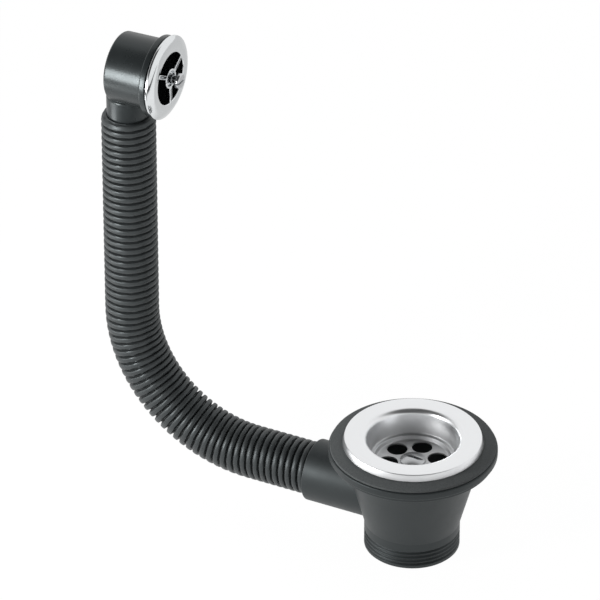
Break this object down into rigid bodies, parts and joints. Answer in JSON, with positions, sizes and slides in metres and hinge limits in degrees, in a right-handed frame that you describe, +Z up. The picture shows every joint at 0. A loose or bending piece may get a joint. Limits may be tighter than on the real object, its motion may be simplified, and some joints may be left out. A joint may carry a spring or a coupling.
{
  "type": "basin waste and overflow",
  "caption": "Dark plastic basin waste with a steel strainer, threaded outlet and a corrugated hose rising to a chrome-faced overflow.",
  "frame": {"origin": "on the waste axis, at the joint between the steel flange and the thick gasket, where the basin is clamped", "axes": "+Z up along the waste axis; the overflow rises on the -X side and faces +X"},
  "size_m": [0.2123, 0.084, 0.2541],
  "materials": {
    "steel": "bright satin",
    "steel_screw": "satin",
    "brass": "turned",
    "seal_rubber": "matte",
    "gasket_rubber": "matte, speckled",
    "dark_plastic": "satin moulded",
    "hose_plastic": "satin",
    "chrome": "polished"
  },
  "bodies": {
    "root": {"waste_strainer": "steel", "strainer_screw": "steel_screw", "strainer_bush": "brass", "flange_seal": "seal_rubber", "waste_gasket": "gasket_rubber", "waste_body": "dark_plastic", "overflow_hose": "hose_plastic", "overflow_head": "dark_plastic", "overflow_gasket": "seal_rubber", "overflow_rosette": "chrome", "overflow_screw": "steel_screw", "overflow_bush": "brass"}
  },
  "joints": []
}
